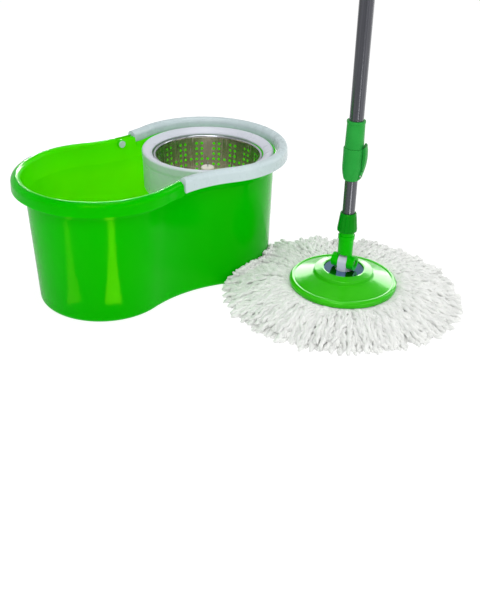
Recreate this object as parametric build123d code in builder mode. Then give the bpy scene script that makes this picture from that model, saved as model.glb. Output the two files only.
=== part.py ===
from build123d import *

import math
import os

# Spin mop: a peanut-shaped bucket with a spin basket, and a round-headed mop on a push pole.
# Millimetres. Origin at the centre of the bucket's base on the floor, +X towards the basket, +Z up.

FIT = 0.05  # radial clearance of a running fit
GAP = 0.3  # clearance between separate pieces

# ---- bucket -------------------------------------------------------------------------------
LOBE_X = 97.0  # each lobe's centre, either side of the origin
RIM_LOBE_R = 110.0  # datum of the rim sections on the lobes
RIM_WAIST_R = 186.0  # the same datum on the two waist arcs
FOOT_LEFT_R = 98.0
FOOT_RIGHT_R = 105.0
FOOT_WAIST_R = 196.0
WALL = 2.2
FLOOR = 2.5
FOOT_FILLET = 8.0
WALL_TOP_Z = 168.0
WALL_TOP_IN = 2.0  # how far the wall's top stands inside the rim datum
BOSS_TOP_Z = 56.0

WAIST_Y = math.sqrt((RIM_LOBE_R + RIM_WAIST_R) ** 2 - LOBE_X**2)
TANGENT = math.degrees(math.atan2(WAIST_Y, LOBE_X))  # direction from a lobe to a waist centre
NOSE = 90.0 - TANGENT  # half of a waist arc's span

# ---- carry handle -------------------------------------------------------------------------
SPLIT = 9.0  # where the handle ends, in degrees either side of the waist's middle
PIVOT_Z = 192.5
PIN_R = 2.5
PIN_HEAD_R = 5.5
PIN_HEAD = 1.8
PAD_R = 7.2
PAD_IN_Y = 92.6  # flat face the pin's head bears on
EYE_R = 4.8
TONGUE_Y = (100.0, 105.0)
SWEEP_R = 27.3  # the handle's short end stays inside this as it swings
FAR_SWEEP_R = 26.1  # the far rim stops inside this, clear of the handle's far end

# ---- basket and its collar ----------------------------------------------------------------
BASKET_X = 101.0  # the basket stands a little outside the lobe's centre
SEAT_HALF = 100.0  # half span of the collar's seat flange, degrees
SKIRT_HALF = 84.0  # half span of the splash skirt towards the water, degrees
BASKET_TOP_R = 84.4
BASKET_FOOT_R = 80.0
SHEET = 0.7
BASKET_TOP_Z = 180.2
BASKET_FOOT_Z = 97.0
HOLE_R = 2.2
HOLE_PAIRS = 18
PAIR_TURN = 2.3  # direction of the first pair, degrees
PAIR_HALF = 3.1  # degrees
ROW_TOP_Z = 170.5
ROW_PITCH = 9.0
ROWS = 8
POST_R = 10.5
POST_TOP_Z = 161.0
BUSH_R = 7.0
SPINDLE_R = 5.0
SPINDLE_TOP_Z = 147.8

# ---- mop ----------------------------------------------------------------------------------
MOP_X = 181.0
MOP_Y = -237.0
PIN_ANGLE = -70.0  # direction of the tilt pin, degrees from +X
HINGE_Z = 64.0
EAR_R = 10.6
EAR_OUT = 18.0
BLOCK_HALF = 7.0
BOLT_R = 3.0
TUBE_IN_R = 9.4  # lower tube
TUBE_OUT_R = 10.4  # upper tube
TUBE_IN_WALL = 1.2
TUBE_OUT_WALL = 0.8
TUBE_IN_Z = (86.0, 602.0)
TUBE_OUT_Z = (222.0, 965.0)
LOCK_ANGLE = -50.0  # side of the pole that the lever is on
LEVER_HALF = 33.0  # half of the lever's wrap round the pole, degrees
LEVER_PIN_D = 12.7
LEVER_PIN_R = 1.2
LEVER_PIN_Z = 206.5
STRIP_W = 6.0
STRIP_T = 1.6
STRIP_Z = (286.0, 634.0)
STRIP_LEAD = 140.0
NUT_Z = (580.0, 588.0)

os.makedirs("parts", exist_ok=True)

lobe_left = (-LOBE_X, 0.0)
lobe_right = (LOBE_X, 0.0)
waist_far = (0.0, WAIST_Y)
waist_near = (0.0, -WAIST_Y)
basket_axis = (BASKET_X, 0.0)
mop = (MOP_X, MOP_Y)
UP = (0, 0, 1)


def upright(centre, angle):
    """Vertical plane through a centre: x runs outward at the angle, y runs up."""
    cos, sin = math.cos(math.radians(angle)), math.sin(math.radians(angle))
    return Plane(origin=(*centre, 0), x_dir=(cos, sin, 0), z_dir=(sin, -cos, 0))


def outward(centre, angle, height):
    """Plane at a point on an axis, looking outward at the angle."""
    direction = (math.cos(math.radians(angle)), math.sin(math.radians(angle)), 0)
    return Plane(origin=(*centre, height), z_dir=direction)


def pin_plane(y, side):
    """Plane across the handle's pivot axis, looking away from the bucket on that side."""
    return Plane(origin=(0, y, PIVOT_Z), x_dir=(1, 0, 0), z_dir=(0, side, 0))


def axis_at(centre):
    return Axis((*centre, 0), UP)


def peanut(left_r, right_r, waist_r):
    """Two lobe arcs joined by two hollow waist arcs, tangent all round."""
    left_reach = left_r + waist_r
    right_reach = right_r + waist_r
    x = (left_reach**2 - right_reach**2) / (4 * LOBE_X)
    y = math.sqrt(left_reach**2 - (x + LOBE_X) ** 2)
    left_touch = (-LOBE_X + left_r * (x + LOBE_X) / left_reach, left_r * y / left_reach)
    right_touch = (LOBE_X + right_r * (x - LOBE_X) / right_reach, right_r * y / right_reach)
    ThreePointArc(left_touch, (-LOBE_X - left_r, 0), (left_touch[0], -left_touch[1]))
    ThreePointArc(
        (left_touch[0], -left_touch[1]), (x, waist_r - y), (right_touch[0], -right_touch[1])
    )
    ThreePointArc((right_touch[0], -right_touch[1]), (LOBE_X + right_r, 0), right_touch)
    ThreePointArc(right_touch, (x, y - waist_r), left_touch)


def rolled_rim(radius, side):
    """Section of the rolled-over rim, measured outward from the datum radius."""
    at = lambda u, z: (radius + side * u, z)
    Polyline(at(-2.0, WALL_TOP_Z), at(-4.2, WALL_TOP_Z), at(-1.5, 181.0), at(1.2, 193.5))
    ThreePointArc(at(1.2, 193.5), at(3.4, 198.6), at(9.0, 200.7))
    ThreePointArc(at(9.0, 200.7), at(14.6, 197.8), at(16.8, 191.0))
    Polyline(at(16.8, 191.0), at(17.2, 181.5), at(15.0, 181.5), at(14.6, 191.0))
    ThreePointArc(at(14.6, 191.0), at(13.0, 196.3), at(9.0, 198.5))
    ThreePointArc(at(9.0, 198.5), at(5.1, 197.0), at(3.4, 193.5))
    Polyline(at(3.4, 193.5), at(0.8, 181.0), at(-2.0, WALL_TOP_Z))


def plain_rim(radius, side, top, lean):
    """Section of the thin upstand under the handle."""
    at = lambda u, z: (radius + side * u, z)
    Polyline(
        at(-2.0, WALL_TOP_Z),
        at(-4.2, WALL_TOP_Z),
        at(-1.5, 181.0),
        at(lean, top),
        at(lean + 2.1, top),
        at(0.8, 181.0),
        at(-2.0, WALL_TOP_Z),
    )


def handle_section(radius, side):
    """Section of the handle's channel, open underneath."""
    at = lambda u, z: (radius + side * u, z)
    Line(at(3.4, 186.5), at(3.4, 197.5))
    ThreePointArc(at(3.4, 197.5), at(5.4, 202.6), at(10.5, 205.0))
    ThreePointArc(at(10.5, 205.0), at(16.6, 203.0), at(19.0, 197.0))
    Polyline(at(19.0, 197.0), at(19.7, 185.0), at(17.5, 185.0), at(16.8, 196.5))
    ThreePointArc(at(16.8, 196.5), at(15.0, 201.1), at(10.5, 202.8))
    ThreePointArc(at(10.5, 202.8), at(7.1, 201.0), at(5.6, 197.5))
    Polyline(at(5.6, 197.5), at(5.6, 186.5), at(3.4, 186.5))


def handle_end_section(radius, side):
    """Section of the closed wall at each end of the handle."""
    at = lambda u, z: (radius + side * u, z)
    Line(at(3.4, 186.5), at(3.4, 197.5))
    ThreePointArc(at(3.4, 197.5), at(5.4, 202.6), at(10.5, 205.0))
    ThreePointArc(at(10.5, 205.0), at(16.6, 203.0), at(19.0, 197.0))
    Line(at(19.0, 197.0), at(19.7, 185.0))
    Polyline(at(19.7, 185.0), at(17.5, 185.0), at(16.5, 186.5), at(3.4, 186.5))


# ---- bucket body --------------------------------------------------------------------------
# Runs of each rim section: centre, start angle, span, datum radius, outward sign.
END_NEAR = SPLIT + 0.45
END_FAR = SPLIT - 0.15
rolled_runs = [
    (lobe_left, TANGENT, 360 - 2 * TANGENT, RIM_LOBE_R, 1),
    (waist_far, 270 - NOSE, NOSE + END_FAR, RIM_WAIST_R, -1),
    (waist_near, 90 + END_NEAR, NOSE - END_NEAR, RIM_WAIST_R, -1),
]
low_runs = [
    (waist_near, 90 - NOSE, NOSE - END_FAR, RIM_WAIST_R, -1),
    (lobe_right, TANGENT - 180, 360 - 2 * TANGENT, RIM_LOBE_R, 1),
    (waist_far, 270 + END_FAR, NOSE - END_FAR, RIM_WAIST_R, -1),
]

with BuildPart() as bucket_body:
    with BuildSketch(Plane.XY):
        with BuildLine():
            peanut(FOOT_LEFT_R, FOOT_RIGHT_R, FOOT_WAIST_R)
        make_face()
    with BuildSketch(Plane.XY.offset(WALL_TOP_Z)):
        with BuildLine():
            peanut(RIM_LOBE_R - WALL_TOP_IN, RIM_LOBE_R - WALL_TOP_IN, RIM_WAIST_R + WALL_TOP_IN)
        make_face()
    loft(ruled=True)
    fillet(bucket_body.faces().sort_by(Axis.Z)[0].edges(), radius=FOOT_FILLET)
    with BuildSketch(Plane.XY.offset(FLOOR)):
        with BuildLine():
            peanut(FOOT_LEFT_R - WALL, FOOT_RIGHT_R - WALL, FOOT_WAIST_R + WALL)
        make_face()
    with BuildSketch(Plane.XY.offset(WALL_TOP_Z)):
        with BuildLine():
            peanut(
                RIM_LOBE_R - WALL_TOP_IN - WALL,
                RIM_LOBE_R - WALL_TOP_IN - WALL,
                RIM_WAIST_R + WALL_TOP_IN + WALL,
            )
        make_face()
    loft(ruled=True, mode=Mode.SUBTRACT)
    # cove where the inner wall meets the floor
    inner_floor = bucket_body.faces().filter_by(Plane.XY).sort_by(Axis.Z)[1]
    fillet(inner_floor.edges(), radius=FOOT_FILLET - WALL)
    for centre, start, span, radius, side in rolled_runs:
        with BuildSketch(upright(centre, start)):
            with BuildLine():
                rolled_rim(radius, side)
            make_face()
        revolve(axis=axis_at(centre), revolution_arc=span)
    for centre, start, span, radius, side in low_runs:
        with BuildSketch(upright(centre, start)):
            with BuildLine():
                plain_rim(radius, side, 189.5, -0.9)
            make_face()
        revolve(axis=axis_at(centre), revolution_arc=span)
    # taller upstand that carries the near pivot pin
    with BuildSketch(upright(waist_near, 90 - END_FAR)):
        with BuildLine():
            plain_rim(RIM_WAIST_R, -1, 198.0, 0.7)
        make_face()
    revolve(axis=axis_at(waist_near), revolution_arc=END_FAR + END_NEAR)
    # flat pads and bores for the two pins
    for side in (-1, 1):
        with BuildSketch(pin_plane(side * PAD_IN_Y, side)):
            Circle(PAD_R)
        extrude(amount=3.9)
    with BuildSketch(pin_plane(-120, 1)):
        Circle(PIN_R)
    extrude(amount=119.0 + 98.5, mode=Mode.SUBTRACT)
    # slot in the far rim's crest for the handle's tongue
    with BuildSketch(Plane.XY.offset(186.0)):
        with Locations((12.0, sum(TONGUE_Y) / 2)):
            Rectangle(36.0, TONGUE_Y[1] - TONGUE_Y[0] + 0.8)
    extrude(amount=20.0, mode=Mode.SUBTRACT)
    # round off the far rim's end so that the handle's far end clears it as it swings
    with BuildSketch(pin_plane(98.0, -1)):
        with Locations((25.0, 10.0)):
            Rectangle(16.0, 40.0)
        Circle(FAR_SWEEP_R, mode=Mode.SUBTRACT)
    extrude(amount=-22.0, mode=Mode.SUBTRACT)
    # boss that holds the spindle
    with BuildSketch(Plane.XY.offset(FLOOR - 1)):
        with Locations(basket_axis):
            Circle(19.0)
    extrude(amount=BOSS_TOP_Z - FLOOR + 1, taper=6)
    with BuildSketch(Plane.XY.offset(12.0)):
        with Locations(basket_axis):
            Circle(SPINDLE_R)
    extrude(amount=BOSS_TOP_Z, mode=Mode.SUBTRACT)

with BuildPart() as pivot_pins:
    for side in (-1, 1):
        with BuildSketch(pin_plane(side * (PAD_IN_Y - PIN_HEAD), side)):
            Circle(PIN_HEAD_R)
        extrude(amount=PIN_HEAD)
        with BuildSketch(pin_plane(side * PAD_IN_Y, side)):
            Circle(PIN_R)
        extrude(amount=12.8)

with BuildPart() as spindle:
    with BuildSketch(Plane.XY.offset(12.0)):
        with Locations(basket_axis):
            Circle(SPINDLE_R)
    extrude(amount=SPINDLE_TOP_Z - 12.0)
    chamfer(spindle.faces().sort_by(Axis.Z)[-1].edges(), length=1.0)

# ---- carry handle -------------------------------------------------------------------------
handle_runs = [
    (waist_near, 90 - NOSE, NOSE + SPLIT, RIM_WAIST_R, -1),
    (lobe_right, TANGENT - 180, 360 - 2 * TANGENT, RIM_LOBE_R, 1),
    (waist_far, 270 + SPLIT, NOSE - SPLIT, RIM_WAIST_R, -1),
]
END_WALL = 0.8  # thickness of each closed end, degrees

with BuildPart() as carry_handle:
    for centre, start, span, radius, side in handle_runs:
        with BuildSketch(upright(centre, start)):
            with BuildLine():
                handle_section(radius, side)
            make_face()
        revolve(axis=axis_at(centre), revolution_arc=span)
    for centre, start in ((waist_near, 90 + SPLIT - END_WALL), (waist_far, 270 + SPLIT)):
        with BuildSketch(upright(centre, start)):
            with BuildLine():
                handle_end_section(RIM_WAIST_R, -1)
            make_face()
        revolve(axis=axis_at(centre), revolution_arc=END_WALL)
    # boss round the near pin
    with BuildSketch(pin_plane(-97.3, -1)):
        Circle(EYE_R + 0.6)
    extrude(amount=7.0)
    # tongue that runs inside the far rim to its pin
    with BuildSketch(pin_plane(TONGUE_Y[0], 1)):
        Circle(EYE_R)
        with Locations((15.0, 0)):
            Rectangle(30.0, 2 * EYE_R)
    extrude(amount=TONGUE_Y[1] - TONGUE_Y[0])
    # bores for both pins
    with BuildSketch(pin_plane(-105.7, 1)):
        Circle(PIN_R + FIT)
    extrude(amount=215, mode=Mode.SUBTRACT)
    # round off the near end so that it clears the rim as it swings
    with BuildSketch(Plane(origin=(0, -90, PIVOT_Z), x_dir=(-1, 0, 0), z_dir=(0, -1, 0))):
        with Locations((25.0, 0)):
            Rectangle(30.0, 40.0)
        Circle(SWEEP_R, mode=Mode.SUBTRACT)
    extrude(amount=40.0, mode=Mode.SUBTRACT)

# ---- basket collar ------------------------------------------------------------------------
with BuildPart() as basket_collar:
    # ring round the basket's mouth
    with BuildSketch(upright(basket_axis, 0)):
        with BuildLine():
            Polyline((103.2, 176.5), (104.0, 181.0), (104.2, 189.0))
            ThreePointArc((104.2, 189.0), (103.3, 192.2), (100.4, 193.6))
            ThreePointArc((100.4, 193.6), (93.0, 190.6), (88.3, 186.3))
            Polyline((88.3, 186.3), (88.3, 184.4), (90.2, 184.4), (90.2, 185.3))
            ThreePointArc((90.2, 185.3), (94.4, 188.8), (100.2, 191.3))
            ThreePointArc((100.2, 191.3), (101.4, 190.7), (102.0, 189.0))
            Polyline((102.0, 189.0), (101.8, 181.0), (101.0, 176.5), (103.2, 176.5))
        make_face()
    revolve(axis=axis_at(basket_axis), revolution_arc=360)
    # splash skirt on the water's side
    with BuildSketch(upright(basket_axis, 180 - SKIRT_HALF)):
        with BuildLine():
            Polyline((99.5, 132.0), (101.7, 132.0), (103.2, 176.5), (101.0, 176.5), close=True)
        make_face()
    revolve(axis=axis_at(basket_axis), revolution_arc=2 * SKIRT_HALF)
    # seat flange over the bucket's shoulder
    with BuildSketch(upright(lobe_right, -SEAT_HALF)):
        with Locations((104.5, 180.0)):
            Rectangle(6.4, 2.0)
    revolve(axis=axis_at(lobe_right), revolution_arc=2 * SEAT_HALF)

# ---- basket -------------------------------------------------------------------------------
with BuildPart() as basket_bush:
    with BuildSketch(Plane.XY.offset(62.0)):
        with Locations(basket_axis):
            Circle(BUSH_R)
    extrude(amount=149.8 - 62.0)
    with BuildSketch(Plane.XY.offset(62.0)):
        with Locations(basket_axis):
            Circle(SPINDLE_R + FIT)
    extrude(amount=SPINDLE_TOP_Z + 0.1 - 62.0, mode=Mode.SUBTRACT)
    with BuildSketch(Plane.XY.offset(62.0)):
        with Locations(basket_axis):
            Circle(BUSH_R + 3)
            Circle(BUSH_R - 0.5, mode=Mode.SUBTRACT)
    extrude(amount=2.5)

with BuildPart() as basket_wall:
    with BuildSketch(upright(basket_axis, 0)):
        with BuildLine():
            Polyline(
                (BASKET_FOOT_R, BASKET_FOOT_Z),
                (BASKET_TOP_R, BASKET_TOP_Z),
                (BASKET_TOP_R - SHEET, BASKET_TOP_Z),
                (BASKET_FOOT_R - SHEET, BASKET_FOOT_Z),
                close=True,
            )
        make_face()
    revolve(axis=axis_at(basket_axis), revolution_arc=360)
    perforations = []
    for pair in range(HOLE_PAIRS):
        middle = PAIR_TURN + pair * 360 / HOLE_PAIRS
        for row in range(ROWS):
            height = ROW_TOP_Z - row * ROW_PITCH
            turns = [middle - PAIR_HALF, middle + PAIR_HALF]
            if row == 3:
                turns.append(middle + 180 / HOLE_PAIRS)
            for turn in turns:
                perforations.append(outward(basket_axis, turn, height).offset(BASKET_FOOT_R + 2))
    with Locations(*perforations):
        Cylinder(HOLE_R, 12.0, mode=Mode.SUBTRACT)

with BuildPart() as basket_rim:
    with BuildSketch(upright(basket_axis, 0)):
        with BuildLine():
            Polyline((84.7, 174.7), (84.7, 180.5), (83.5, 180.5))
            ThreePointArc((83.5, 180.5), (84.9, 184.5), (86.8, 181.6))
            Polyline((86.8, 181.6), (85.6, 174.7), (84.7, 174.7))
        make_face()
    revolve(axis=axis_at(basket_axis), revolution_arc=360)

with BuildPart() as basket_floor:
    with BuildSketch(Plane.XY.offset(BASKET_FOOT_Z + 0.3)):
        with Locations(basket_axis):
            Circle(BASKET_FOOT_R - SHEET - 0.1)
            Circle(BUSH_R + 0.6, mode=Mode.SUBTRACT)
            for ring_r, count in ((38, 12), (52, 18), (66, 24)):
                with PolarLocations(ring_r, count):
                    Circle(HOLE_R, mode=Mode.SUBTRACT)
            with PolarLocations(20, 3):
                Circle(1.6, mode=Mode.SUBTRACT)
    extrude(amount=SHEET)

POST_FOOT_Z = BASKET_FOOT_Z + 0.3 + SHEET

with BuildPart() as centre_post:
    with BuildSketch(Plane.XY.offset(POST_FOOT_Z)):
        with Locations(basket_axis):
            Circle(26.0)
    extrude(amount=3.0)
    with BuildSketch(Plane.XY.offset(POST_FOOT_Z)):
        with Locations(basket_axis):
            Circle(POST_R)
    extrude(amount=POST_TOP_Z - POST_FOOT_Z)
    chamfer(centre_post.faces().sort_by(Axis.Z)[-1].edges(), length=1.4)
    with BuildSketch(Plane.XY.offset(POST_FOOT_Z - 1)):
        with Locations(basket_axis):
            Circle(BUSH_R + FIT)
    extrude(amount=150.0 - POST_FOOT_Z + 1, mode=Mode.SUBTRACT)
    with BuildSketch(Plane.XY.offset(150.0)):
        with Locations(basket_axis):
            Circle(1.2)
    extrude(amount=20.0, mode=Mode.SUBTRACT)
    with BuildSketch(Plane.XY.offset(POST_FOOT_Z - 1)):
        with Locations(basket_axis):
            with PolarLocations(20, 3):
                Circle(1.5)
    extrude(amount=10.0, mode=Mode.SUBTRACT)

with BuildPart() as post_spike:
    with BuildSketch(Plane.XY.offset(151.0)):
        with Locations(basket_axis):
            Circle(1.2)
    extrude(amount=17.5)
    chamfer(post_spike.faces().sort_by(Axis.Z)[-1].edges(), length=0.6)

with BuildPart() as post_screws:
    with BuildSketch(Plane.XY.offset(BASKET_FOOT_Z - 2)):
        with Locations(basket_axis):
            with PolarLocations(20, 3):
                Circle(1.5)
    extrude(amount=POST_FOOT_Z + 3.0 - BASKET_FOOT_Z + 2)
    with BuildSketch(Plane.XY.offset(POST_FOOT_Z + 3.0)):
        with Locations(basket_axis):
            with PolarLocations(20, 3):
                Circle(3.0)
    extrude(amount=1.8)

# ---- mop head -----------------------------------------------------------------------------
with BuildPart() as mop_plate:
    with BuildSketch(upright(mop, 0)):
        with BuildLine():
            Polyline((13.2, 48.2), (13.2, 50.4), (30.8, 50.4), (30.8, 53.0), (33.0, 53.3))
            Line((33.0, 53.3), (43.6, 51.1))
            ThreePointArc((43.6, 51.1), (44.5, 50.5), (44.8, 49.5))
            Polyline((44.8, 49.5), (45.2, 45.3), (46.4, 44.2), (74.4, 35.6))
            ThreePointArc((74.4, 35.6), (76.4, 36.7), (79.0, 35.9))
            ThreePointArc((79.0, 35.9), (81.2, 34.0), (82.0, 31.2))
            Polyline((82.0, 31.2), (81.6, 27.6), (79.4, 27.6), (79.4, 31.4), (74.2, 33.4))
            Polyline((74.2, 33.4), (45.6, 42.1), (42.9, 44.2), (42.5, 48.2), (13.2, 48.2))
        make_face()
    revolve(axis=axis_at(mop), revolution_arc=360)
    with BuildSketch(Plane.XY.offset(47.0)):
        with Locations(mop):
            with PolarLocations(22, 3, start_angle=50):
                Circle(1.4)
    extrude(amount=2.6, mode=Mode.SUBTRACT)

with BuildPart() as refill_ring:
    with BuildSketch(upright(mop, 0)):
        with BuildLine():
            Polyline((36, 21), (78, 21), (78, 24.5), (74, 26.5), (40, 26.5))
            Polyline((40, 26.5), (40, 40), (37.5, 40), (36, 37), (36, 21))
        make_face()
    revolve(axis=axis_at(mop), revolution_arc=360)

with BuildPart() as microfibre_strands:
    with BuildSketch(upright(mop, 0)):
        with BuildLine():
            Polyline((30, 0), (30, 12), (36, 20.6), (79, 20.6), (84, 27), (98, 33))
            Polyline((98, 33), (136, 33), (160, 26), (173, 14), (174, 0), (30, 0))
        make_face()
    revolve(axis=axis_at(mop), revolution_arc=360)
    # pressed aside where the bucket stands
    with BuildSketch(Plane.XY.offset(-1)):
        with Locations(lobe_right):
            Circle(FOOT_RIGHT_R + 3.5)
    extrude(amount=60, mode=Mode.SUBTRACT)

with BuildPart() as steel_cover:
    with BuildSketch(upright(mop, 0)):
        with BuildLine():
            Polyline((13.4, 50.6), (30.4, 50.6), (30.4, 51.4), (29.0, 52.0), (24.0, 51.8))
            Polyline((24.0, 51.8), (13.4, 51.8), (13.4, 50.6))
        make_face()
    revolve(axis=axis_at(mop), revolution_arc=360)

pin_x = (math.cos(math.radians(PIN_ANGLE)), math.sin(math.radians(PIN_ANGLE)), 0)
pin_side = (pin_x[1], -pin_x[0], 0)
hinge_face = Plane(origin=(MOP_X, MOP_Y, HINGE_Z), x_dir=pin_x, z_dir=pin_side)  # x along pin, y up
hinge_end = Plane(origin=(MOP_X, MOP_Y, HINGE_Z), x_dir=pin_side, z_dir=tuple(-c for c in pin_x))

with BuildPart() as pivot_block:
    with BuildSketch(hinge_end):
        Circle(EAR_R)
        with Locations((0, -8.0)):
            Rectangle(2 * EAR_R, 16.0)
    extrude(amount=BLOCK_HALF, both=True)
    with BuildSketch(Plane.XY.offset(43.6)):
        with Locations(mop):
            Circle(26.0)
    extrude(amount=4.4)
    with BuildSketch(hinge_end):
        Circle(BOLT_R + FIT)
    extrude(amount=30, both=True, mode=Mode.SUBTRACT)
    with BuildSketch(Plane.XY.offset(40.0)):
        with Locations(mop):
            with PolarLocations(22, 3, start_angle=50):
                Circle(1.4)
    extrude(amount=10.0, mode=Mode.SUBTRACT)

with BuildPart() as block_screws:
    with BuildSketch(Plane.XY.offset(42.0)):
        with Locations(mop):
            with PolarLocations(22, 3, start_angle=50):
                Circle(2.8)
    extrude(amount=1.6)
    with BuildSketch(Plane.XY.offset(43.6)):
        with Locations(mop):
            with PolarLocations(22, 3, start_angle=50):
                Circle(1.4)
    extrude(amount=6.0)

# ---- lower pole ---------------------------------------------------------------------------
with BuildPart() as pole_fork:
    # round ears along the pin
    with BuildSketch(hinge_end):
        Circle(EAR_R)
    extrude(amount=EAR_OUT, both=True)
    # neck, and the socket above it
    with BuildSketch(upright(mop, 0)):
        with BuildLine():
            Polyline((0, HINGE_Z), (11.2, HINGE_Z), (11.4, 102.6), (12.5, 103.0), (12.5, 108.4))
            Polyline((12.5, 108.4), (11.3, 108.8), (11.3, 114.7), (10.6, 114.7), (10.6, 133.0))
            Polyline((10.6, 133.0), (0, 133.0), (0, HINGE_Z))
        make_face()
    revolve(axis=axis_at(mop), revolution_arc=360)
    # crotch for the block
    with BuildSketch(hinge_face):
        with Locations((0, -0.5)):
            Rectangle(2 * (BLOCK_HALF + GAP), 30)
    extrude(amount=30, both=True, mode=Mode.SUBTRACT)
    # pin bore, with a recess for the bolt's head and one for the nut
    with BuildSketch(hinge_end):
        Circle(BOLT_R)
    extrude(amount=40, both=True, mode=Mode.SUBTRACT)
    for side in (-1, 1):
        with BuildSketch(hinge_end.offset(side * (EAR_OUT - 5.0))):
            Circle(6.0)
        extrude(amount=side * 8, mode=Mode.SUBTRACT)
    # bore for the lower tube
    with BuildSketch(Plane.XY.offset(TUBE_IN_Z[0])):
        with Locations(mop):
            Circle(TUBE_IN_R)
    extrude(amount=80, mode=Mode.SUBTRACT)

with BuildPart() as hinge_bolt:
    with BuildSketch(hinge_end.offset(-(EAR_OUT - 5.0))):
        Circle(5.0)
    extrude(amount=-3.0)
    with BuildSketch(hinge_end.offset(-(EAR_OUT - 5.0))):
        Circle(BOLT_R)
    extrude(amount=2 * EAR_OUT - 6.5)
    with BuildSketch(hinge_end.offset(-(EAR_OUT - 5.0) - 3.0)):
        RegularPolygon(2.2, 6)
    extrude(amount=1.6, mode=Mode.SUBTRACT)

with BuildPart() as hinge_nut:
    with BuildSketch(hinge_end.offset(EAR_OUT - 5.0)):
        RegularPolygon(5.2, 6)
        Circle(BOLT_R, mode=Mode.SUBTRACT)
    extrude(amount=3.0)

with BuildPart() as inner_tube:
    with BuildSketch(Plane.XY.offset(TUBE_IN_Z[0])):
        with Locations(mop):
            Circle(TUBE_IN_R)
            Circle(TUBE_IN_R - TUBE_IN_WALL, mode=Mode.SUBTRACT)
    extrude(amount=TUBE_IN_Z[1] - TUBE_IN_Z[0])

with BuildPart() as collet:
    with BuildSketch(upright(mop, 0)):
        with BuildLine():
            Polyline((TUBE_IN_R, 133.3), (10.5, 133.3), (10.5, 138.0), (9.7, 142.5))
            Polyline((9.7, 142.5), (TUBE_IN_R, 142.5), (TUBE_IN_R, 133.3))
        make_face()
    revolve(axis=axis_at(mop), revolution_arc=340)

with BuildPart() as screw_collar:
    with BuildSketch(upright(mop, 0)):
        with BuildLine():
            Polyline((10.7, 115.5), (14.2, 115.5), (14.8, 116.3), (15.0, 119.0), (13.3, 134.0))
            Polyline((13.3, 134.0), (12.1, 143.4), (11.2, 144.8), (9.75, 144.8), (9.75, 143.0))
            Polyline((9.75, 143.0), (10.7, 138.5), (10.7, 115.5))
        make_face()
    revolve(axis=axis_at(mop), revolution_arc=360)
    with Locations((MOP_X, MOP_Y, 129.0)):
        with PolarLocations(14.6, 14):
            Cylinder(1.4, 24.0, rotation=(0, -7, 0), mode=Mode.SUBTRACT)

# ---- drive inside the pole ----------------------------------------------------------------
with BuildPart() as guide_bush:
    with BuildSketch(upright(mop, 0)):
        with BuildLine():
            Polyline((3.6, 590), (8.15, 590), (8.15, 602.3), (9.55, 602.3), (9.55, 616), (3.6, 616))
            Line((3.6, 616), (3.6, 590))
        make_face()
    revolve(axis=axis_at(mop), revolution_arc=360)

with BuildPart() as drive_nut:
    with BuildSketch(Plane.XY.offset(NUT_Z[0])):
        with Locations(mop):
            Circle(8.0)
            Rectangle(STRIP_W + 0.6, STRIP_T + 1.6, mode=Mode.SUBTRACT)
    extrude(amount=NUT_Z[1] - NUT_Z[0])

STRIP_LENGTH = STRIP_Z[1] - STRIP_Z[0]
strip_turn = 360 * STRIP_LENGTH / STRIP_LEAD
# the strip lies square in the nut's slot at rest
strip_start = -360 * ((NUT_Z[0] + NUT_Z[1]) / 2 - STRIP_Z[0]) / STRIP_LEAD
strip_seat = Location((MOP_X, MOP_Y, STRIP_Z[0]), (0, 0, strip_start))

with BuildPart() as drive_strip:
    with BuildSketch(mode=Mode.PRIVATE) as strip_end:
        Rectangle(STRIP_W, STRIP_T)
    add(
        Solid.extrude_linear_with_rotation(
            strip_end.face(), center=(0, 0, 0), normal=(0, 0, STRIP_LENGTH), angle=strip_turn
        ).moved(strip_seat)
    )

# ---- upper pole ---------------------------------------------------------------------------
with BuildPart() as anchor_plug:
    with BuildSketch(Plane.XY.offset(618.0)):
        with Locations(mop):
            Circle(TUBE_OUT_R - TUBE_OUT_WALL)
            Circle(3.5, mode=Mode.SUBTRACT)
    extrude(amount=24.0)
    with BuildSketch(Plane.XY.offset(634.2)):
        with Locations(mop):
            Circle(5.0)
    extrude(amount=4.0)
    with BuildSketch(Plane(origin=(MOP_X, MOP_Y, 638.2), x_dir=(1, 0, 0), z_dir=(0, 1, 0))):
        Circle(1.5)
    extrude(amount=20, both=True, mode=Mode.SUBTRACT)

with BuildPart() as outer_tube:
    with BuildSketch(Plane.XY.offset(TUBE_OUT_Z[0])):
        with Locations(mop):
            Circle(TUBE_OUT_R)
            Circle(TUBE_OUT_R - TUBE_OUT_WALL, mode=Mode.SUBTRACT)
    extrude(amount=TUBE_OUT_Z[1] - TUBE_OUT_Z[0])
    with BuildSketch(Plane(origin=(MOP_X, MOP_Y, 638.2), x_dir=(1, 0, 0), z_dir=(0, 1, 0))):
        Circle(1.5)
    extrude(amount=20, both=True, mode=Mode.SUBTRACT)

with BuildPart() as anchor_rivet:
    with BuildSketch(Plane(origin=(MOP_X, MOP_Y - 11.3, 638.2), x_dir=(1, 0, 0), z_dir=(0, 1, 0))):
        Circle(1.5)
    extrude(amount=22.6)
    for side in (-1, 1):
        head = Plane(origin=(MOP_X, MOP_Y + side * 10.6, 638.2), x_dir=(1, 0, 0), z_dir=(0, side, 0))
        with BuildSketch(head):
            Circle(2.8)
        extrude(amount=0.9)

lever_radial = (math.cos(math.radians(LOCK_ANGLE)), math.sin(math.radians(LOCK_ANGLE)), 0)
lever_across = (-lever_radial[1], lever_radial[0], 0)
lever_side = Plane(origin=(MOP_X, MOP_Y, 0), x_dir=lever_radial, z_dir=tuple(-c for c in lever_across))

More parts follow.
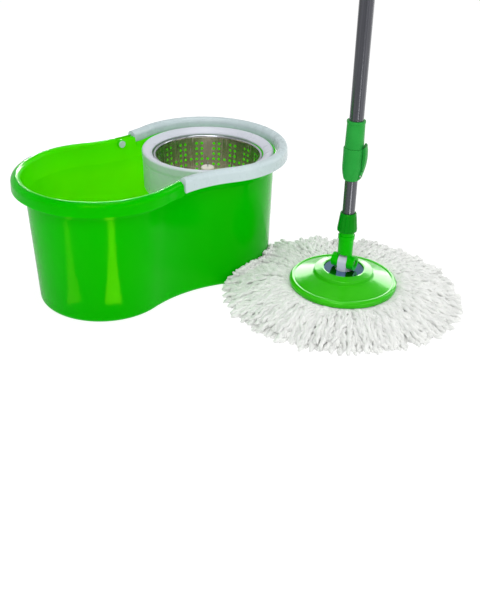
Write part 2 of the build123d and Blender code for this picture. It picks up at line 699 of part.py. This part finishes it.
with BuildPart() as lock_body:
    with BuildSketch(upright(mop, 0)):
        with BuildLine():
            Polyline((9.5, 197.0), (10.6, 197.0), (11.8, 198.4))
            ThreePointArc((11.8, 198.4), (14.4, 210.0), (15.0, 224.0))
            Polyline((15.0, 224.0), (15.2, 245.0), (14.7, 246.0), (TUBE_OUT_R, 246.0))
            Polyline((TUBE_OUT_R, 246.0), (TUBE_OUT_R, 222.0), (9.5, 222.0), (9.5, 197.0))
        make_face()
    revolve(axis=axis_at(mop), revolution_arc=360)
    # cheeks either side of the lever's pin
    with BuildSketch(upright(mop, LOCK_ANGLE - 40)):
        with BuildLine():
            Polyline((11.0, 198.6), (12.8, 199.2), (16.6, 205.5), (17.6, 213.2), (11.0, 213.2))
            Line((11.0, 213.2), (11.0, 198.6))
        make_face()
    revolve(axis=axis_at(mop), revolution_arc=80)
    # pocket and window for the lever's cam
    with BuildSketch(lever_side):
        with Locations((14.2, LEVER_PIN_Z + 1.2)):
            Rectangle(10.4, 12.4)
    extrude(amount=8.1, both=True, mode=Mode.SUBTRACT)
    with BuildSketch(lever_side):
        with Locations((LEVER_PIN_D, LEVER_PIN_Z)):
            Circle(LEVER_PIN_R)
    extrude(amount=20, both=True, mode=Mode.SUBTRACT)
    with BuildSketch(Plane.XY.offset(190)):
        with Locations(mop):
            Circle(9.5)
    extrude(amount=30, mode=Mode.SUBTRACT)

with BuildPart() as lever_pin:
    with BuildSketch(lever_side):
        with Locations((LEVER_PIN_D, LEVER_PIN_Z)):
            Circle(LEVER_PIN_R)
    extrude(amount=10.4, both=True)

with BuildPart() as lock_lever:
    with BuildSketch(upright(mop, LOCK_ANGLE - LEVER_HALF)):
        with BuildLine():
            Polyline((12.3, LEVER_PIN_Z), (15.2, LEVER_PIN_Z - 1.5))
            ThreePointArc((15.2, LEVER_PIN_Z - 1.5), (19.4, 222.0), (20.0, 244.0))
            Polyline((20.0, 244.0), (18.8, 250.6), (17.2, 249.4), (15.8, 246.5), (15.8, 214.4))
            Line((15.8, 214.4), (12.3, LEVER_PIN_Z))
        make_face()
    revolve(axis=axis_at(mop), revolution_arc=2 * LEVER_HALF)
    with BuildSketch(lever_side):
        with Locations((LEVER_PIN_D, LEVER_PIN_Z)):
            Circle(2.7)
    extrude(amount=7.4, both=True)
    with BuildSketch(lever_side):
        with Locations((LEVER_PIN_D, LEVER_PIN_Z)):
            Circle(LEVER_PIN_R + FIT)
    extrude(amount=20, both=True, mode=Mode.SUBTRACT)
    # keep the lever's lower skirts off the cheeks
    for side in (-1, 1):
        with BuildSketch(lever_side.offset(side * 7.7)):
            with Locations((12.0, LEVER_PIN_Z - 2)):
                Rectangle(20, 20)
        extrude(amount=side * 10, mode=Mode.SUBTRACT)

with BuildPart() as lock_sleeve:
    with BuildSketch(upright(mop, 0)):
        with BuildLine():
            Polyline((TUBE_OUT_R, 246.2), (13.8, 246.2), (13.0, 282.5), (13.6, 283.3), (13.6, 285.8))
            Polyline((13.6, 285.8), (13.1, 286.5), (TUBE_OUT_R, 286.5), (TUBE_OUT_R, 246.2))
        make_face()
    revolve(axis=axis_at(mop), revolution_arc=360)

with BuildPart() as hand_grip:
    with BuildSketch(upright(mop, 0)):
        with BuildLine():
            Polyline((TUBE_OUT_R, 850), (12.2, 850), (13.2, 853), (13.2, 960), (12.6, 962))
            Polyline((12.6, 962), (TUBE_OUT_R, 962), (TUBE_OUT_R, 850))
        make_face()
    revolve(axis=axis_at(mop), revolution_arc=360)
    for ring in range(14):
        with BuildSketch(upright(mop, 0)):
            with Locations((13.5, 861 + 7 * ring)):
                Circle(1.2)
        revolve(axis=axis_at(mop), revolution_arc=360, mode=Mode.SUBTRACT)

with BuildPart() as hang_cap:
    with BuildSketch(upright(mop, 0)):
        with BuildLine():
            Polyline((0, 945), (9.5, 945), (9.5, 965.2), (12.0, 965.2), (12.0, 976))
            ThreePointArc((12.0, 976), (9.4, 992), (0, 1000))
            Line((0, 1000), (0, 945))
        make_face()
    revolve(axis=axis_at(mop), revolution_arc=360)
    with BuildSketch(Plane(origin=(MOP_X, MOP_Y, 984), x_dir=(1, 0, 0), z_dir=(0, 1, 0))):
        Circle(5.5)
    extrude(amount=20, both=True, mode=Mode.SUBTRACT)

# ---- output -------------------------------------------------------------------------------
nodes = {
    "bucket_body": bucket_body,
    "pivot_pins": pivot_pins,
    "spindle": spindle,
    "basket_collar": basket_collar,
    "carry_handle": carry_handle,
    "basket_bush": basket_bush,
    "basket_wall": basket_wall,
    "basket_rim": basket_rim,
    "basket_floor": basket_floor,
    "centre_post": centre_post,
    "post_spike": post_spike,
    "post_screws": post_screws,
    "mop_plate": mop_plate,
    "refill_ring": refill_ring,
    "microfibre_strands": microfibre_strands,
    "steel_cover": steel_cover,
    "pivot_block": pivot_block,
    "block_screws": block_screws,
    "pole_fork": pole_fork,
    "hinge_bolt": hinge_bolt,
    "hinge_nut": hinge_nut,
    "inner_tube": inner_tube,
    "collet": collet,
    "screw_collar": screw_collar,
    "guide_bush": guide_bush,
    "drive_nut": drive_nut,
    "drive_strip": drive_strip,
    "anchor_plug": anchor_plug,
    "outer_tube": outer_tube,
    "anchor_rivet": anchor_rivet,
    "lock_body": lock_body,
    "lever_pin": lever_pin,
    "lock_lever": lock_lever,
    "lock_sleeve": lock_sleeve,
    "hand_grip": hand_grip,
    "hang_cap": hang_cap,
}
for name, node in nodes.items():
    node.part.label = name
    export_step(node.part, f"parts/{name}.step")
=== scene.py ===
import math

import bpy
import numpy as np
from mathutils import Matrix, Vector


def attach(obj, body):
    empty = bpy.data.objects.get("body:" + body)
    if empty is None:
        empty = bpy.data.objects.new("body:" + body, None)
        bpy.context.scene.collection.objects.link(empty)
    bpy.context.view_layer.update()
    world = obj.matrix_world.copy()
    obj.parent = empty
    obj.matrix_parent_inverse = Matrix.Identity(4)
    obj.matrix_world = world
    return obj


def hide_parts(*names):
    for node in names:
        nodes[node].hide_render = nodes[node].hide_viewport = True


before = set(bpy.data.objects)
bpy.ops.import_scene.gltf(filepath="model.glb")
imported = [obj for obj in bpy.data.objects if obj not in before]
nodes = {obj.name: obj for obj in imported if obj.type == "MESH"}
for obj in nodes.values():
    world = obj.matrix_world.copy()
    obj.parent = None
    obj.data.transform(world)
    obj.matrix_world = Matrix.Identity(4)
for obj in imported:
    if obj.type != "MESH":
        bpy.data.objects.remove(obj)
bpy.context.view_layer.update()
scene = bpy.context.scene

MM = 0.001
MOP = (0.181, -0.237)  # the mop's axis on the floor
LOBE_X = 0.097  # each lobe's centre, either side of the origin
TONE_TOP_Z = 0.19  # the bucket's colour changes with height up to here
FLOOR_HALF = 30.0
FLOOR_GLOW = 0.86
WHITE = (1.0, 1.0, 1.0)
LIME = (0.75, 1.0, 0.05)  # the lamps that put streaks on the bucket
GREEN_GLOSS = (0.25, 1.0, 0.10)  # coloured gloss of the deep green mouldings


def ramp(tree, value, source, target):
    """Maps a value from the source range to the target range, and holds it at the ends."""
    node = tree.nodes.new("ShaderNodeMapRange")
    sockets = ("From Min", "From Max", "To Min", "To Max")
    for socket, limit in zip(sockets, (*source, *target)):
        node.inputs[socket].default_value = limit
    tree.links.new(value, node.inputs["Value"])
    return node.outputs["Result"]


# ---- camera, floor, light -----------------------------------------------------------------
def make_camera():
    """Camera high in front on the left: pitched down, slightly rolled, with its frame shifted down."""
    place = (-0.7039, -1.0396, 0.6689)
    forward = Vector((0.5769, 0.6837, -0.4470)).normalized()
    level_right = forward.cross(Vector((0, 0, 1))).normalized()
    level_up = level_right.cross(forward)
    roll = math.radians(1.54)
    right = math.cos(roll) * level_right + math.sin(roll) * level_up
    up = math.cos(roll) * level_up - math.sin(roll) * level_right
    data = bpy.data.cameras.new("camera")
    data.lens = 52.55
    data.shift_y = -0.083
    camera = bpy.data.objects.new("camera", data)
    turn = Matrix((right, up, -forward)).transposed().to_4x4()
    camera.matrix_world = Matrix.Translation(place) @ turn
    scene.collection.objects.link(camera)
    scene.camera = camera


def group_of(name, members):
    group = bpy.data.collections.new(name)
    for member in members:
        group.objects.link(member)
    return group


def place_light(light, place, only, blockers=()):
    """Puts a light in the scene unseen; it can light only some objects, and be blocked only by some."""
    light.location = place
    light.visible_camera = False
    scene.collection.objects.link(light)
    if only:
        light.light_linking.receiver_collection = group_of(light.name + "_receivers", only)
    if blockers:
        light.light_linking.blocker_collection = group_of(light.name + "_blockers", blockers)


def rectangle(name, size, power):
    data = bpy.data.lights.new(name, "AREA")
    data.shape = "RECTANGLE"
    data.size, data.size_y = size
    data.energy = power
    return bpy.data.objects.new(name, data)


def area_light(name, place, target, size, power, only=(), gloss_only=False, blockers=()):
    """Soft box aimed at a target; a gloss-only one shows in reflections and gives no fill."""
    light = rectangle(name, size, power)
    aim = Vector(target) - Vector(place)
    light.rotation_euler = aim.to_track_quat("-Z", "Y").to_euler()
    light.visible_diffuse = not gloss_only
    place_light(light, place, only, blockers)


def floor_strip(name, foot, azimuth, length, width, power, colour, only):
    """Strip of light lying on the floor, running away from a piece's foot, for a streak up the piece."""
    light = rectangle(name, (length, width), power)
    light.data.color = colour
    turn = math.radians(azimuth)
    light.rotation_euler = (math.pi, 0, turn)
    light.visible_diffuse = False
    half = 0.5 * length
    middle = (foot[0] + half * math.cos(turn), foot[1] + half * math.sin(turn), 2 * MM)
    place_light(light, middle, only)


def glow(name, place, radius, power, only):
    """Soft ball of light that shows in no reflection and shines through everything but its receivers."""
    data = bpy.data.lights.new(name, "POINT")
    data.shadow_soft_size = radius
    data.energy = power
    light = bpy.data.objects.new(name, data)
    light.visible_glossy = False
    place_light(light, place, only, blockers=only)


def floor_glow(tree):
    """The floor's glow: even where it is seen, and dimmer towards -X in reflections."""
    place = tree.nodes.new("ShaderNodeTexCoord")
    split = tree.nodes.new("ShaderNodeSeparateXYZ")
    tree.links.new(place.outputs["Object"], split.inputs["Vector"])
    reflected = ramp(tree, split.outputs["X"], (0.0, 0.30), (0.40, FLOOR_GLOW))
    seen = tree.nodes.new("ShaderNodeLightPath")
    pick = tree.nodes.new("ShaderNodeMix")
    pick.inputs["A"].default_value = FLOOR_GLOW
    tree.links.new(seen.outputs["Is Glossy Ray"], pick.inputs["Factor"])
    tree.links.new(reflected, pick.inputs["B"])
    return pick.outputs["Result"]


def make_floor():
    mesh = bpy.data.meshes.new("floor")
    half = FLOOR_HALF
    corners = [(-half, -half, 0), (half, -half, 0), (half, half, 0), (-half, half, 0)]
    mesh.from_pydata(corners, [], [(0, 1, 2, 3)])
    floor = bpy.data.objects.new("floor", mesh)
    scene.collection.objects.link(floor)
    material = bpy.data.materials.new("floor_white")
    material.use_nodes = True
    tree = material.node_tree
    shader = tree.nodes["Principled BSDF"]
    shader.inputs["Base Color"].default_value = (0.30, 0.30, 0.30, 1)
    shader.inputs["Roughness"].default_value = 0.9
    shader.inputs["Specular IOR Level"].default_value = 0.0
    shader.inputs["Emission Color"].default_value = (*WHITE, 1)
    tree.links.new(floor_glow(tree), shader.inputs["Emission Strength"])
    mesh.materials.append(material)


def make_world():
    """White at the horizon and darker overhead; plain white where it is seen behind the object."""
    world = bpy.data.worlds.new("studio")
    world.use_nodes = True
    tree = world.node_tree
    background = tree.nodes["Background"]
    place = tree.nodes.new("ShaderNodeTexCoord")
    split = tree.nodes.new("ShaderNodeSeparateXYZ")
    tree.links.new(place.outputs["Generated"], split.inputs["Vector"])
    fade = ramp(tree, split.outputs["Z"], (0.05, 0.75), (0.80, 0.30))
    seen = tree.nodes.new("ShaderNodeLightPath")
    brightest = tree.nodes.new("ShaderNodeMath")
    brightest.operation = "MAXIMUM"
    tree.links.new(fade, brightest.inputs[0])
    tree.links.new(seen.outputs["Is Camera Ray"], brightest.inputs[1])
    tree.links.new(brightest.outputs["Value"], background.inputs["Strength"])
    background.inputs["Color"].default_value = (*WHITE, 1)
    scene.world = world


def make_lights(strands):
    """Soft boxes round the whole set, then lamps that each serve one or two pieces."""
    bucket = (nodes["bucket_body"],)
    plate = (nodes["mop_plate"],)
    tubes = (nodes["inner_tube"], nodes["outer_tube"])
    area_light("key", (-1.3, -1.3, 1.9), (0.05, -0.05, 0.1), (1.0, 1.0), 20)
    area_light("top", (0.15, -0.1, 2.3), (0.1, -0.1, 0.1), (1.3, 1.3), 16)
    area_light("front", (0.4, -1.9, 0.6), (0.1, -0.1, 0.1), (1.0, 0.5), 4)
    area_light("right_strip", (1.6, -0.5, 0.8), (0.1, -0.1, 0.15), (0.25, 1.4), 4)
    # fills the hollows of the yarn, where only the plate throws a shadow
    area_light("pile", (0.3, -0.8, 1.4), (0.18, -0.24, 0), (1.0, 1.0), 2.5, (strands,), blockers=plate)
    # highlight along the bucket's rim, and pale sheen on the plate
    area_light("crest_strip", (1.5, 1.75, 1.22), (0, 0, 0.2), (1.5, 0.10), 40, bucket, gloss_only=True)
    area_light("plate_sheen", (1.32, 0.68, 0.60), (0.18, -0.24, 0.03), (2.0, 0.7), 27, plate, gloss_only=True)
    # light that comes through the bucket's walls
    glow("through_left_walls", (-0.085, 0, 0.10), 0.05, 0.09, bucket)
    glow("through_right_walls", (LOBE_X, 0, 0.13), 0.05, 0.36, bucket)
    # streaks up the bucket's wall and along the pole
    floor_strip("streak_left", (-0.222, -0.057), -178.8, 0.25, 0.045, 0.14, LIME, bucket)
    floor_strip("streak_middle", (-0.151, -0.130), -106.6, 0.25, 0.05, 0.55, LIME, bucket)
    floor_strip("tube_streak", MOP, -114, 1.5, 0.10, 2.6, WHITE, tubes)
    scene.view_settings.view_transform = "Standard"


# ---- materials ----------------------------------------------------------------------------
class Surface:
    """A procedural material built up from object-space noise."""

    def __init__(self, name):
        self.material = bpy.data.materials.new(name)
        self.material.use_nodes = True
        self.tree = self.material.node_tree
        self.shader = self.tree.nodes["Principled BSDF"]
        coordinates = self.add("ShaderNodeTexCoord")
        self.place = coordinates.outputs["Object"]
        self.normal = coordinates.outputs["Normal"]

    def add(self, kind, **settings):
        node = self.tree.nodes.new(kind)
        for key, value in settings.items():
            setattr(node, key, value)
        return node

    def join(self, source, target):
        self.tree.links.new(source, target)

    def noise(self, scale, detail=3.0, stretch=(1, 1, 1), rough=0.55):
        mapping = self.add("ShaderNodeMapping")
        mapping.inputs["Scale"].default_value = stretch
        self.join(self.place, mapping.inputs["Vector"])
        noise = self.add("ShaderNodeTexNoise")
        noise.inputs["Scale"].default_value = scale
        noise.inputs["Detail"].default_value = detail
        noise.inputs["Roughness"].default_value = rough
        self.join(mapping.outputs["Vector"], noise.inputs["Vector"])
        return noise.outputs["Fac"]

    def spread(self, value, low, high, source=(0.35, 0.65)):
        """Spreads a value, by default the middle of a noise, from low to high."""
        return ramp(self.tree, value, source, (low, high))

    def math(self, operation, *values):
        node = self.add("ShaderNodeMath", operation=operation)
        for socket, value in zip(node.inputs, values):
            if isinstance(value, (int, float)):
                socket.default_value = value
            else:
                self.join(value, socket)
        return node.outputs["Value"]

    def mix(self, factor, a, b):
        """Mixes two colours; the node has other sockets of the same names, so these go by number."""
        socket_a, socket_b, result = 6, 7, 2
        node = self.add("ShaderNodeMix", data_type="RGBA")
        self.join(factor, node.inputs["Factor"])
        for socket, colour in ((socket_a, a), (socket_b, b)):
            if isinstance(colour, tuple):
                node.inputs[socket].default_value = (*colour, 1)
            else:
                self.join(colour, node.inputs[socket])
        return node.outputs[result]

    def colour(self, value):
        self.join(value, self.shader.inputs["Base Color"])

    def roughness(self, value):
        self.join(value, self.shader.inputs["Roughness"])

    def bump(self, height, distance, strength=1.0):
        node = self.add("ShaderNodeBump")
        node.inputs["Distance"].default_value = distance
        node.inputs["Strength"].default_value = strength
        self.join(height, node.inputs["Height"])
        self.join(node.outputs["Normal"], self.shader.inputs["Normal"])

    def set(self, **values):
        for name, value in values.items():
            self.shader.inputs[name.replace("_", " ")].default_value = value


def plastic(name, light, dark, rough, grain=0.06 * MM, coat=0.0, tint=WHITE):
    """Moulded plastic: faint cloudy colour, varied gloss and a fine moulded grain."""
    s = Surface(name)
    s.colour(s.mix(s.spread(s.noise(14.0), 0.0, 1.0), dark, light))
    s.roughness(s.spread(s.noise(60.0, 4.0), rough - 0.04, rough + 0.08))
    s.bump(s.noise(900.0, 2.0), grain)
    s.set(IOR=1.49, Coat_Weight=coat, Coat_Roughness=0.06)
    s.set(Specular_IOR_Level=0.4, Specular_Tint=(*tint, 1.0))
    return s.material


def facing_inwards(s, x, y):
    """1 on the bucket's inner faces and 0 on its outer ones, from the normal and the line of its lobes."""
    nearest = s.math("MAXIMUM", s.math("MINIMUM", x, LOBE_X), -LOBE_X)
    outward = s.add("ShaderNodeCombineXYZ")
    s.join(s.math("SUBTRACT", x, nearest), outward.inputs["X"])
    s.join(y, outward.inputs["Y"])
    facing = s.add("ShaderNodeVectorMath", operation="DOT_PRODUCT")
    s.join(outward.outputs["Vector"], facing.inputs[0])
    s.join(s.normal, facing.inputs[1])
    return s.spread(facing.outputs["Value"], 1.0, 0.0, (-0.02, 0.01))


def bucket_plastic():
    """Translucent polypropylene, deeper green outside; the inner faces carry painted light: lime where light
    comes through the walls, with painted shade towards the left end and the rim.
    """
    s = Surface("bucket_polypropylene")
    split = s.add("ShaderNodeSeparateXYZ")
    s.join(s.place, split.inputs["Vector"])
    x, y, z = (split.outputs[axis] for axis in "XYZ")
    # the lime of the inner faces is painted light, standing for light that comes through the walls
    inside = facing_inwards(s, x, y)
    height = s.spread(z, 0.0, 1.0, (0.0, TONE_TOP_Z))
    outer = s.mix(height, (0.0, 0.40, 0.0), (0.0, 0.46, 0.0))
    lime = s.mix(height, (0.11, 0.68, 0.0), (0.11, 0.70, 0.0))
    # painted shade: the inner lime darkens towards the bucket's left end and near its rim
    shade_at_end = s.spread(x, 0.75, 0.0, (-0.20, -0.10))
    shade_at_rim = s.spread(z, 0.0, 0.7, (0.15, 0.20))
    inner = s.mix(s.math("MAXIMUM", shade_at_end, shade_at_rim), lime, (0.03, 0.60, 0.0))
    cloudy = s.spread(s.noise(9.0), 0.0, 0.12)
    s.colour(s.mix(cloudy, s.mix(inside, outer, inner), (0.01, 0.52, 0.0)))
    s.roughness(s.spread(s.noise(40.0, 4.0), 0.10, 0.17))
    s.bump(s.noise(700.0, 2.0), 0.03 * MM)
    s.set(IOR=1.49, Specular_IOR_Level=0.14, Specular_Tint=(0.5, 1.0, 0.02, 1.0))
    s.set(Subsurface_Weight=0.5, Subsurface_Radius=(0.4, 1.0, 0.05), Subsurface_Scale=6 * MM)
    return s.material


def metal(name, colour, dull, rough, stretch=(1, 1, 1)):
    """Metal with drawn scratches and slightly dulled patches."""
    s = Surface(name)
    s.colour(s.mix(s.spread(s.noise(30.0), 0.0, 1.0), dull, colour))
    s.roughness(s.spread(s.noise(400.0, 4.0, stretch), rough * 0.7, rough * 1.4))
    s.bump(s.noise(900.0, 3.0, stretch), 0.02 * MM)
    s.set(Metallic=1.0)
    return s.material


def coated_tube():
    """Dark coated steel with fine lengthwise drawing lines."""
    s = Surface("coated_tube")
    lines = s.spread(s.noise(500.0, 3.0, (1, 1, 0.01)), 0.0, 1.0)
    s.colour(s.mix(lines, (0.026, 0.028, 0.038), (0.065, 0.066, 0.082)))
    s.roughness(s.spread(s.noise(300.0, 3.0, (1, 1, 0.02)), 0.16, 0.28))
    s.bump(s.noise(700.0, 2.0, (1, 1, 0.01)), 0.03 * MM)
    s.set(Metallic=0.35, IOR=1.6, Coat_Weight=0.6, Coat_Roughness=0.12)
    return s.material


def yarn():
    """Looped microfibre: white, matt, with a fuzzy pile and slightly greyer patches."""
    s = Surface("microfibre_yarn")
    s.colour(s.mix(s.spread(s.noise(55.0, 4.0), 0.0, 1.0), (0.74, 0.75, 0.73), (0.83, 0.84, 0.815)))
    pile = s.math("ADD", s.noise(900.0, 4.0, rough=0.7), s.noise(320.0, 3.0, rough=0.6))
    s.bump(pile, 0.8 * MM, 0.5)
    s.set(Roughness=0.95, Sheen_Weight=0.8, Sheen_Roughness=0.5, Specular_IOR_Level=0.1)
    s.set(Subsurface_Weight=0.15, Subsurface_Radius=(1.0, 1.0, 1.0), Subsurface_Scale=3 * MM)
    return s.material


def dress_nodes():
    """Gives every carried-over CAD node its finish."""
    bucket = bucket_plastic()
    fork = plastic("fork_green", (0.0, 0.52, 0.0), (0.0, 0.44, 0.0), 0.22, tint=GREEN_GLOSS)
    handle = plastic("handle_plastic", (0.58, 0.68, 0.70), (0.52, 0.62, 0.64), 0.26)
    pale = plastic("collar_plastic", (0.69, 0.71, 0.79), (0.63, 0.66, 0.73), 0.30)
    plate_light, plate_dark = (0.045, 0.56, 0.008), (0.03, 0.50, 0.005)
    plate = plastic("plate_green", plate_light, plate_dark, 0.14, coat=0.22, tint=GREEN_GLOSS)
    lock = plastic("lock_green", (0.025, 0.34, 0.055), (0.015, 0.28, 0.04), 0.36, tint=GREEN_GLOSS)
    ring = plastic("collar_green", (0.0, 0.27, 0.008), (0.0, 0.21, 0.006), 0.22, tint=GREEN_GLOSS)
    cream = plastic("cream_plastic", (0.84, 0.82, 0.72), (0.76, 0.74, 0.64), 0.40)
    white = plastic("white_plastic", (0.66, 0.67, 0.80), (0.60, 0.61, 0.74), 0.26)
    grip = plastic("grip_green", (0.02, 0.26, 0.05), (0.015, 0.20, 0.04), 0.7, grain=0.2 * MM)
    acetal = plastic("acetal", (0.80, 0.80, 0.77), (0.72, 0.72, 0.69), 0.40)
    sheet = metal("steel_sheet", (0.78, 0.74, 0.66), (0.64, 0.60, 0.53), 0.20, (1, 1, 0.05))
    polished = metal("polished_steel", (0.62, 0.64, 0.68), (0.50, 0.52, 0.56), 0.07)
    blued = metal("blued_steel", (0.20, 0.35, 0.50), (0.12, 0.24, 0.38), 0.10)
    zinc = metal("zinc_steel", (0.70, 0.70, 0.71), (0.55, 0.55, 0.56), 0.30)
    tube = coated_tube()
    fasteners = ["post_spike", "post_screws", "block_screws", "hinge_bolt", "hinge_nut", "lever_pin"]
    finishes = {
        bucket: ["bucket_body"],
        fork: ["pole_fork"],
        handle: ["carry_handle", "pivot_pins"],
        pale: ["basket_collar"],
        plate: ["mop_plate"],
        lock: ["lock_body", "lock_lever", "lock_sleeve", "hang_cap"],
        ring: ["screw_collar"],
        cream: ["centre_post"],
        white: ["pivot_block", "refill_ring"],
        grip: ["hand_grip"],
        acetal: ["basket_bush", "collet", "guide_bush", "drive_nut", "anchor_plug"],
        sheet: ["basket_wall", "basket_floor"],
        polished: ["basket_rim"],
        blued: ["steel_cover"],
        zinc: [*fasteners, "spindle", "drive_strip", "anchor_rivet"],
        tube: ["inner_tube", "outer_tube"],
    }
    for material, names in finishes.items():
        for name in names:
            for slot in nodes[name].material_slots:
                slot.material = material


# ---- microfibre strands -------------------------------------------------------------------
STRAND_SIDES = 7
STRAND_STEPS = 34
STRAND_POINTS = STRAND_SIDES * STRAND_STEPS
RADIUS_MM = (2.5, 3.4)  # range of a strand's radius
UNEVEN = 0.16  # how much the radius varies along a strand
ROOT_TAPER = 0.5
TIP_TAPER = (1.12, 1.05, 0.55)  # a strand swells a little before its tip
FUZZ = 0.22 * MM  # how far the surface strays from smooth
FLOOR_GAP = 0.2 * MM
WALL_CLEAR = 109.4 * MM  # strands stay this far from the basket lobe's axis
LONGEST = 184 * MM  # furthest that a strand reaches from the mop's axis
LIP_R = 81 * MM  # the plate's lower lip
LIP_LEVEL = 23.8 * MM  # highest that a strand's middle lies under the lip
LIP_RISE = 14 * MM  # past the lip, strands come up to their level within this distance
DRIFT = 11 * MM  # how far a strand's end strays sideways
SWAY_MM = (2.0, 7.0)
CRIMP = 1.1 * MM
CRIMP_ACROSS = 14 * MM  # wavelength sideways
CRIMP_UP = 17 * MM  # wavelength up and down
ANY_PHASE = (0, 6.3)
DROOP_R = 105 * MM  # strands start to fall here
DROOP = (0.45, 0.75)  # part of its height that a strand loses by its end
PILED = 0.35  # how much less it loses on the far side
CLIMB = 26 * MM  # highest that strands climb where the bucket's wall stops them
CLIMB_RATE = (0.3, 1.1)  # rise for each unit that the wall pushes a strand back
FAR_SIDE = math.radians(50)  # the side that the strands are pushed towards, and pile up on
OVAL = 0.06  # the pile spreads this much wider across the far side's direction
SHIFT_MM = 9  # the pile's shift towards the far side
TRIM_MM = 5
LAYERS = (  # count, start radius, reach and height in mm
    (150, 40, 170, 3.6),
    (165, 50, 174, 9.0),
    (175, 60, 174, 14.5),
    (185, 68, 171, 20.0),
    (190, 72, 165, 25.0),
    (170, 74, 155, 28.5),
)


def strand_line(rng, turn, start, reach, level):
    """Centre line of one strand: out from under the plate, over the pile and down to the floor."""
    t = np.linspace(0.0, 1.0, STRAND_STEPS)
    length = reach - start
    r = start + length * t
    drift = rng.normal(0, DRIFT) * t**1.5
    sway = rng.uniform(*SWAY_MM) * MM * np.sin(rng.uniform(2, 7) * t + rng.uniform(*ANY_PHASE)) * t
    waves = 2 * math.pi * t * length
    crimp = CRIMP * np.sin(waves / CRIMP_ACROSS + rng.uniform(*ANY_PHASE))
    side = drift + sway + crimp
    x = MOP[0] + r * math.cos(turn) - side * math.sin(turn)
    y = MOP[1] + r * math.sin(turn) + side * math.cos(turn)
    under = min(level, LIP_LEVEL)
    rise = np.clip((r - LIP_R) / LIP_RISE, 0, 1)
    rise = rise * rise * (3 - 2 * rise)
    outer = np.clip((r - DROOP_R) / (reach - DROOP_R), 0, 1)
    droop = rng.uniform(*DROOP) - PILED * max(0.0, math.cos(turn - FAR_SIDE))
    z = (under + (level - under) * rise) * (1 - droop * outer**2)
    z = z + CRIMP * np.sin(waves / CRIMP_UP + rng.uniform(*ANY_PHASE)) * rise
    return stopped_by_wall(rng, np.stack([x, y, z], 1), level)


def stopped_by_wall(rng, line, level):
    """Pushes a line out of the bucket's right lobe; what is pushed climbs the wall a little."""
    lobe = np.array((LOBE_X, 0.0))
    away = line[:, :2] - lobe
    gap = np.linalg.norm(away, axis=1)
    pushed = np.maximum(gap, WALL_CLEAR)
    line[:, :2] = lobe + away * (pushed / gap)[:, None]
    line[:, 2] += np.minimum((pushed - gap) * rng.uniform(*CLIMB_RATE), CLIMB - level * 0.5)
    return line


def tube_around(line, radii):
    """Points of the rings round a line, ring after ring."""
    along = np.gradient(line, axis=0)
    along /= np.linalg.norm(along, axis=1)[:, None]
    across = np.cross(along, (0, 0, 1))
    across /= np.linalg.norm(across, axis=1)[:, None]
    over = np.cross(across, along)
    angles = np.linspace(0, 2 * math.pi, STRAND_SIDES, endpoint=False)
    ring = np.cos(angles)[None, :, None] * across[:, None] + np.sin(angles)[None, :, None] * over[:, None]
    points = line[:, None] + ring * radii[:, None, None]
    return points.reshape(-1, 3)


def strand_points(rng, turn, start, reach, level):
    """Surface points of one strand: uneven, tapered at both ends, fuzzy and clear of the floor."""
    toward = math.cos(turn - FAR_SIDE)
    spread = reach * (1 + OVAL - OVAL * toward**2) + SHIFT_MM * toward - TRIM_MM
    length = (spread + rng.normal(0, 6.0)) * MM
    thick = rng.uniform(*RADIUS_MM) * MM
    line = strand_line(rng, turn, start * MM, min(length, LONGEST), level * MM)
    t = np.linspace(0, 1, STRAND_STEPS)
    radii = thick * (1 + UNEVEN * np.sin(rng.uniform(14, 24) * t + rng.uniform(*ANY_PHASE)))
    radii[0] *= ROOT_TAPER
    radii[-3:] *= TIP_TAPER
    line[:, 2] = np.maximum(line[:, 2], radii + FLOOR_GAP)
    fuzz = rng.normal(0, FUZZ, (STRAND_POINTS, 3))
    rings = tube_around(line, radii) + fuzz
    rings[:, 2] = np.maximum(rings[:, 2], FLOOR_GAP)
    return rings


def strand_faces(first):
    """Faces of one closed strand whose points start at number first."""
    faces = []
    for k in range(STRAND_STEPS - 1):
        for j in range(STRAND_SIDES):
            a = first + k * STRAND_SIDES + j
            b = first + k * STRAND_SIDES + (j + 1) % STRAND_SIDES
            faces.append((a, a + STRAND_SIDES, b + STRAND_SIDES, b))
    last = first + (STRAND_STEPS - 1) * STRAND_SIDES
    faces.append(tuple(first + j for j in range(STRAND_SIDES)))
    faces.append(tuple(last + j for j in reversed(range(STRAND_SIDES))))
    return faces


def make_strands():
    """The refill's strands in layers, piled on the floor and against the bucket."""
    rng = np.random.RandomState(11)
    points, faces = [], []
    for count, start, reach, level in LAYERS:
        for i in range(count):
            turn = 2 * math.pi * (i + rng.uniform(-0.7, 0.7)) / count
            faces += strand_faces(len(points) * STRAND_POINTS)
            points.append(strand_points(rng, turn, start, reach, level))
    mesh = bpy.data.meshes.new("strands")
    mesh.from_pydata(np.concatenate(points).tolist(), [], faces)
    mesh.shade_smooth()
    strands = bpy.data.objects.new("yarn_strands", mesh)
    scene.collection.objects.link(strands)
    mesh.materials.append(yarn())
    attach(strands, "mop_head")
    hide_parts("microfibre_strands")
    return strands


make_camera()
make_floor()
make_world()
dress_nodes()
make_lights(make_strands())
